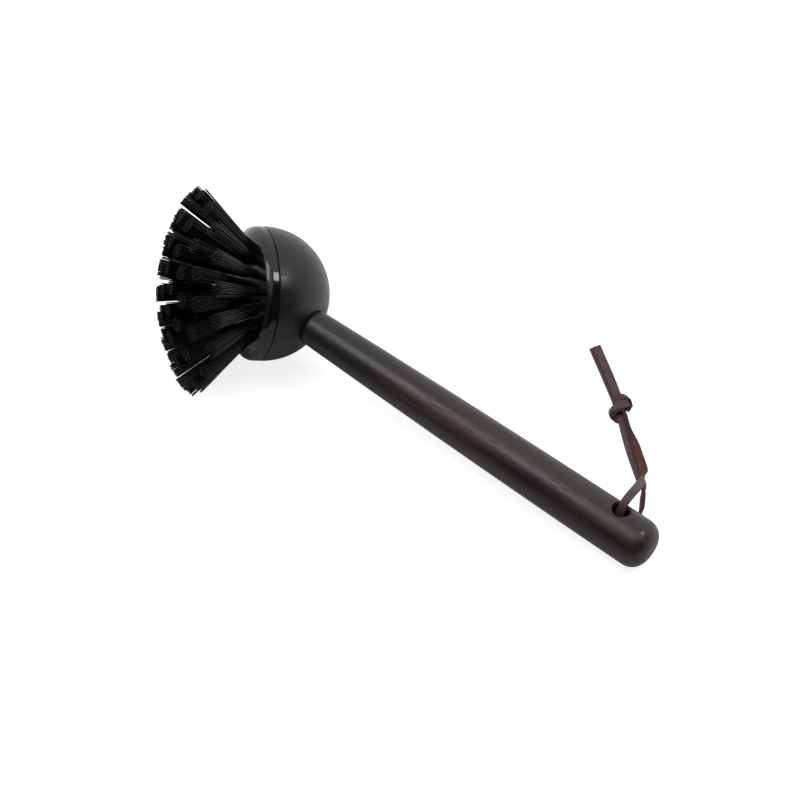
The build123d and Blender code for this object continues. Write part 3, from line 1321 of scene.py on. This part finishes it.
@dataclass
class Handle:
    """Turned handle with a round butt, a tenon in the ball and a hole for the lace."""

    placement: Placement
    reach: float = 210.5
    neck_radius: float = 8.1
    neck_round: float = 0.5
    belly_radius: float = 10.15
    butt_round: float = 7.6
    tenon_radius: float = 5.0
    tenon_length: float = 11.0
    tenon_chamfer: float = 0.6
    hole_radius: float = 4.0
    hole_round: float = 0.8
    cutter_poke: float = 1.0
    around: int = 168
    ring_spacing: float = 1.3

    def radius_at(self, station: float) -> float:
        """Gives the handle's radius, on the parabola through neck, belly and butt.

        Args:
            station: Distance from the ball's centre along the handle, in millimetres.

        Returns:
            The radius in millimetres.
        """
        shoulder, butt_radius = self.placement.shoulder_station_mm, self.placement.butt_radius_mm
        share = (station - shoulder) / (self.reach - shoulder)
        bow = 2 * (self.neck_radius + butt_radius) - 4 * self.belly_radius
        rise = butt_radius - self.neck_radius - bow
        return self.neck_radius + rise * share + bow * share * share

    def profile(self) -> list[tuple[float, float]]:
        """The turned outline from the tenon's end to the butt."""
        shoulder, neck = self.placement.shoulder_station_mm, self.neck_radius
        start = shoulder - self.tenon_length
        round_station = self.reach - self.butt_round
        flat_radius = self.radius_at(round_station) - self.butt_round
        neck_arc = arc((shoulder + self.neck_round, neck - self.neck_round), self.neck_round, 180, 90, 6)
        body_count = round((round_station - shoulder) / self.ring_spacing)
        body = np.linspace(shoulder + self.neck_round, round_station, body_count)
        return [
            (start, 0),
            (start, self.tenon_radius - self.tenon_chamfer),
            (start + self.tenon_chamfer, self.tenon_radius),
            (shoulder, self.tenon_radius),
            *neck_arc,
            *[(station, self.radius_at(station)) for station in body[1:]],
            *arc((round_station, flat_radius), self.butt_round, 90, 0, 20)[1:],
            (self.reach, flat_radius / 2),
            (self.reach, 0),
        ]

    def hole_cutter(
        self, steps: int = 96, round_steps: int = 8, poke: float = 0.03, feel: float = 0.05
    ) -> bpy.types.Object:
        """The shape that the lace hole takes away: a bore whose mouths flare into the handle's skin.

        Args:
            steps: Faces round the hole.
            round_steps: Runs of each mouth's rounding.
            poke: How far the rounding reaches past the skin, in millimetres.
            feel: How far to each side the skin's slope is felt, in millimetres.

        Returns:
            The closed cutter.
        """
        rings: list[list[tuple[float, float, float]]] = []
        centre_out = self.hole_radius + self.hole_round
        for step in range(steps):
            angle = 2 * math.pi * step / steps
            lengthwise, sideways = math.cos(angle), math.sin(angle)

            def skin_height(out: float) -> float:
                """Height of the handle's skin over the hole's middle at a distance from its axis."""
                radius = self.radius_at(self.placement.hole_station_mm + out * lengthwise)
                return math.sqrt(radius**2 - (out * sideways) ** 2)

            slope = (skin_height(centre_out + feel) - skin_height(centre_out - feel)) / (2 * feel)
            lean = math.atan(slope)
            middle = skin_height(centre_out) - self.hole_round / math.cos(lean) + poke
            column = [(self.hole_radius, middle)]
            end = math.pi / 2 + lean
            for number in range(1, round_steps + 1):
                turn = math.pi + (end - math.pi) * number / round_steps
                column.append(
                    (centre_out + self.hole_round * math.cos(turn), middle + self.hole_round * math.sin(turn))
                )
            column.append((column[-1][0], self.placement.butt_radius_mm + self.cutter_poke))
            half = [(out * lengthwise, out * sideways, height) for out, height in column]
            mirrored = [(x, y, -z) for x, y, z in reversed(half)]
            rings.append(mirrored + half)
        grid = np.array(rings)
        tall = grid.shape[1]
        faces: list[tuple[int, ...]] = []
        for step in range(steps):
            after = (step + 1) % steps
            for level in range(tall - 1):
                here, there = step * tall + level, after * tall + level
                faces.append((here, there, there + 1, here + 1))
        faces.append(tuple(step * tall for step in reversed(range(steps))))
        faces.append(tuple(step * tall + tall - 1 for step in range(steps)))
        place = self.placement
        axes = axes_at(place.hole_middle, place.handle_direction, place.hole_direction)
        return mesh_piece("hole_cutter", placed(grid.reshape(-1, 3) * MM, axes), faces, [])

    def build(self) -> bpy.types.Object:
        """Turns and drills the handle.

        Returns:
            The piece.
        """
        finish = StainedOak(
            "stained_oak_handle",
            self.placement.handle_direction,
            "#1b1817",
            "#3f2c26",
            brown_from_mm=35.0,
            brown_full_mm=100.0,
        ).build()
        points, faces = lathe(self.profile(), self.placement.handle_frame(), self.around)
        piece = mesh_piece("turned_handle", points, faces, [finish])
        drilled(piece, [self.hole_cutter()], sharp_deg=35)
        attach(piece, HANDLE_SIDE)
        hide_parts("handle")
        LOG.info("turned_handle: %d faces", len(piece.data.polygons))
        return piece


@dataclass
class Dome:
    """Half ball of turned wood, flattened where the handle meets it and bored for the stud."""

    placement: Placement
    seam_offset: float = 1.2
    seam_chamfer: float = 0.35
    spot_radius: float = 10.1
    socket_radius: float = 5.06
    socket_end: float = 16.6
    bore_radius: float = 7.09
    bore_end: float = -11.0
    bore_land: float = 4.0
    cutter_poke: float = 2.0
    around: int = 192

    def profile(self) -> list[tuple[float, float]]:
        """The ball's outline from its back to the seam."""
        ball_radius = self.placement.ball_radius_mm
        seam_radius = math.sqrt(ball_radius**2 - self.seam_offset**2)
        chamfer_station = self.seam_offset - self.seam_chamfer
        end_deg = math.degrees(math.acos(chamfer_station / ball_radius))
        return [
            *arc((0, 0), ball_radius, 180, end_deg, 88),
            (self.seam_offset, seam_radius - self.seam_chamfer),
            (self.seam_offset, self.bore_radius + self.bore_land),
            (self.seam_offset, 0),
        ]

    def build(self) -> bpy.types.Object:
        """Turns the dome and cuts its flat and its bores.

        Returns:
            The piece.
        """
        finish = StainedOak(
            "stained_oak_ball",
            self.placement.brush_direction,
            "#0f0d0d",
            "#231a18",
            pore_roughness=0.5,
            pore_depth_mm=0.04,
        ).build()
        brush_axes, handle_axes = self.placement.brush_frame(), self.placement.handle_frame()
        points, faces = lathe(self.profile(), brush_axes, self.around)
        piece = mesh_piece("turned_dome", points, faces, [finish])
        shoulder = self.placement.shoulder_station_mm
        outside = self.placement.ball_radius_mm + self.cutter_poke
        ahead = self.seam_offset + self.cutter_poke
        cutters = [
            plug("flat_cutter", handle_axes, self.spot_radius, shoulder, outside, 96),
            plug("socket_cutter", handle_axes, self.socket_radius, self.socket_end, outside, 64),
            plug("bore_cutter", brush_axes, self.bore_radius, self.bore_end, ahead, 64),
        ]
        drilled(piece, cutters, sharp_deg=30)
        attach(piece, HANDLE_SIDE)
        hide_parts("dome")
        LOG.info("turned_dome: %d faces", len(piece.data.polygons))
        return piece


@dataclass(frozen=True)
class TuftPlace:
    """Where one tuft stands: axes at its root, Z out along the tuft, and its length in millimetres."""

    axes: Matrix
    length: float


@dataclass
class Crown:
    """Moulded brush head: collar, drilled crown and stud, with the places of its tufts."""

    placement: Placement
    back_station: float = 1.4
    collar_radius: float = 30.0
    collar_round: float = 5.2
    crown_radius: float = 40.0
    crown_height: float = 19.4
    edge_chamfer: float = 0.35
    stud_radius: float = 7.0
    stud_length: float = 11.0
    stud_chamfer: float = 1.0
    hole_radius: float = 2.0
    hole_depth: float = 6.0
    drill_sides: int = 24
    drill_poke: float = 2.0
    fan_depth: float = 16.4
    ring_radii: tuple[float, ...] = (24.4, 18.2, 12.2, 6.1, 0.0)
    ring_counts: tuple[int, ...] = (20, 15, 11, 6, 1)
    trim_radius: float = 82.0
    trim_height: float = 45.9
    around: int = 216

    def tuft_places(self) -> list[TuftPlace]:
        """Places of all tufts, from the rim ring inwards, each ring from its lowest side round."""
        axes = self.placement.brush_frame()
        fan_centre = Vector((0, 0, -self.fan_depth))
        trim_centre = Vector((0, 0, self.trim_height - self.trim_radius))
        places: list[TuftPlace] = []
        for ring, (radius, count) in enumerate(zip(self.ring_radii, self.ring_counts)):
            station = self.crown_height - self.crown_radius + math.sqrt(self.crown_radius**2 - radius**2)
            for number in range(count):
                around = 2 * math.pi * (number + ring / 2) / count
                root = Vector((radius * math.cos(around), radius * math.sin(around), station))
                out = (root - fan_centre).normalized()
                side = Vector((-math.sin(around), math.cos(around), 0))
                length = trimmed_length(root - trim_centre, out, self.trim_radius)
                places.append(TuftPlace(axes @ axes_at(root * MM, side, out), length))
        return places

    def profile(self) -> list[tuple[float, float]]:
        """The head's outline from the stud's end over the collar to the top of the crown."""
        sphere_centre = self.crown_height - self.crown_radius
        inner = self.collar_radius - self.collar_round
        round_station = sphere_centre + math.sqrt((self.crown_radius - self.collar_round) ** 2 - inner**2)
        meet_deg = math.degrees(math.atan2(inner, round_station - sphere_centre))
        stud_end = self.back_station - self.stud_length
        return [
            (stud_end, 0),
            (stud_end, self.stud_radius - self.stud_chamfer),
            (stud_end + self.stud_chamfer, self.stud_radius),
            (self.back_station, self.stud_radius),
            (self.back_station, self.collar_radius - self.edge_chamfer),
            (self.back_station + self.edge_chamfer, self.collar_radius),
            *arc((round_station, inner), self.collar_round, 90, meet_deg, 24),
            *arc((sphere_centre, 0), self.crown_radius, meet_deg, 0, 40)[1:],
        ]

    def build(self) -> bpy.types.Object:
        """Moulds and drills the head.

        Returns:
            The piece.
        """
        finish = GlossAbs("gloss_black_abs").build()
        points, faces = lathe(self.profile(), self.placement.brush_frame(), self.around)
        piece = mesh_piece("moulded_crown", points, faces, [finish])
        drills: list[np.ndarray] = []
        drill_faces: list[tuple[int, ...]] = []
        count = 0
        for place in self.tuft_places():
            foot, mouth = -self.hole_depth, self.drill_poke
            hole = [(foot, 0), (foot, self.hole_radius), (mouth, self.hole_radius), (mouth, 0)]
            hole_points, hole_faces = lathe(hole, place.axes, self.drill_sides)
            drills.append(hole_points)
            drill_faces += [tuple(i + count for i in face) for face in hole_faces]
            count += len(hole_points)
        drilled(piece, [mesh_piece("hole_drills", np.vstack(drills), drill_faces, [])], sharp_deg=35)
        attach(piece, SCREW_HEAD)
        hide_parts("brush_head")
        LOG.info("moulded_crown: %d faces", len(piece.data.polygons))
        return piece


def trimmed_length(from_centre: Vector, out: Vector, radius: float) -> float:
    """Length along a direction from a point inside a sphere to its skin.

    Args:
        from_centre: The point, from the sphere's centre.
        out: The direction.
        radius: The sphere's radius.

    Returns:
        The length.
    """
    along = from_centre.dot(out)
    return math.sqrt(along**2 - from_centre.length_squared + radius**2) - along


@dataclass
class Tufts:
    """The bundles of bristle, fanned out of their holes and trimmed to one large sphere."""

    crown: Crown
    strands: int = 46
    strand_radius: float = 0.23
    sides: int = 6
    root_depth: float = 5.2
    root_spread: float = 1.72
    tip_spread: float = 3.35
    spread_jitter: float = 0.22
    length_jitter: float = 0.22
    bow: float = 0.28
    bow_draw: tuple[float, float] = (-0.2, 1.0)
    early_share: float = 0.55
    late_bow_share: float = 0.3
    foot_share: float = 0.94
    stray_share: float = 0.02
    stray_spread: float = 1.2
    seed: int = 11
    golden_turn_deg: float = 137.508

    def strand_rows(self, place: TuftPlace, draw: random.Random) -> list[list[Vector]]:
        """Draws the middle lines of one tuft's strands.

        Args:
            place: The tuft's place.
            draw: The seeded source of chance.

        Returns:
            For each strand its points in the frame's axes, in metres.
        """
        lines: list[list[Vector]] = []
        phase = draw.uniform(0, 360)
        for number in range(self.strands):
            share = math.sqrt((number + 0.5) / self.strands)
            angle = math.radians(phase + number * self.golden_turn_deg)
            spread = self.tip_spread + draw.uniform(-1, 1) * self.spread_jitter
            if draw.random() < self.stray_share:
                spread += self.stray_spread
            side = Vector((math.cos(angle), math.sin(angle), 0))
            swing = Vector((draw.uniform(-1, 1), draw.uniform(-1, 1), 0)) * self.spread_jitter
            length = place.length + draw.uniform(-1, 1) * self.length_jitter
            root = side * (self.root_spread * share)
            tip = side * (spread * share) + swing + Vector((0, 0, length))
            middle = root.lerp(tip, 0.5) + side * (self.bow * draw.uniform(*self.bow_draw))
            foot = root * self.foot_share + Vector((0, 0, -self.root_depth))
            early, late = root.lerp(middle, self.early_share), middle.lerp(tip, 0.5)
            late += side * (self.bow * self.late_bow_share)
            route = [foot, root, early, middle, late, tip]
            lines.append([place.axes @ (point * MM) for point in route])
        return lines

    def skin(self, lines: Sequence[Sequence[Vector]]) -> tuple[np.ndarray, list[tuple[int, ...]], list[int]]:
        """Gives each strand its round skin and its cut end.

        Args:
            lines: The middle lines.

        Returns:
            Vertices in metres, faces and the material number of each face.
        """
        angles = np.linspace(0, 2 * math.pi, self.sides, endpoint=False)
        ring = np.stack([np.cos(angles), np.sin(angles)], axis=1) * self.strand_radius * MM
        points: list[np.ndarray] = []
        faces: list[tuple[int, ...]] = []
        shown: list[int] = []
        count = 0
        for line in lines:
            path = np.array(line)
            tangent = directions_along(path)
            normal = carried_normals(path, Vector(tangent[0]).orthogonal())
            across = np.cross(tangent, normal)
            tube = path[:, None] + ring[None, :, 0:1] * normal[:, None] + ring[None, :, 1:2] * across[:, None]
            points.append(tube.reshape(-1, 3))
            for row in range(len(path) - 1):
                here = count + row * self.sides
                there = here + self.sides
                for step in range(self.sides):
                    after = (step + 1) % self.sides
                    faces.append((here + step, here + after, there + after, there + step))
            shown += [0] * ((len(path) - 1) * self.sides)
            top = count + (len(path) - 1) * self.sides
            faces.append(tuple(top + step for step in range(self.sides)))
            faces.append(tuple(count + step for step in reversed(range(self.sides))))
            shown += [1, 0]
            count += len(path) * self.sides
        skin = np.vstack(points)
        skin[:, 2] = np.maximum(skin[:, 2], FLOOR_CLEARANCE)
        return skin, faces, shown

    def build(self) -> None:
        """Makes every tuft as a piece of its own."""
        finishes = [DrawnNylon("drawn_black_nylon").build(), SawnNylon("sawn_nylon_ends").build()]
        draw = random.Random(self.seed)
        for number, place in enumerate(self.crown.tuft_places(), start=1):
            points, faces, shown = self.skin(self.strand_rows(place, draw))
            piece = mesh_piece(f"bristles_{number:02d}", points, faces, finishes, shown, sharp_deg=70)
            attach(piece, SCREW_HEAD)
            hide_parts(f"tuft_{number:02d}")
        LOG.info("bristles: %d tufts of %d strands", number, self.strands)


def dress_anchors() -> None:
    """Gives the anchor strips of the CAD model their metal."""
    anchors = frame["nodes"]["tuft_anchors"]
    anchors.data.materials.clear()
    anchors.data.materials.append(GalvanisedSteel("galvanised_strip").build())
    LOG.info("tuft_anchors: dressed")


def main() -> None:
    """Builds the camera, the lace, the studio and the brush, in that order."""
    logging.basicConfig(level=logging.INFO, format="%(name)s %(message)s")
    bpy.context.scene.view_settings.view_transform = "Standard"
    placement = Placement()
    View().build()
    Lace(placement).build()
    Studio().build()
    Handle(placement).build()
    Dome(placement).build()
    crown = Crown(placement)
    crown.build()
    Tufts(crown).build()
    dress_anchors()


if __name__ == "__main__":
    main()
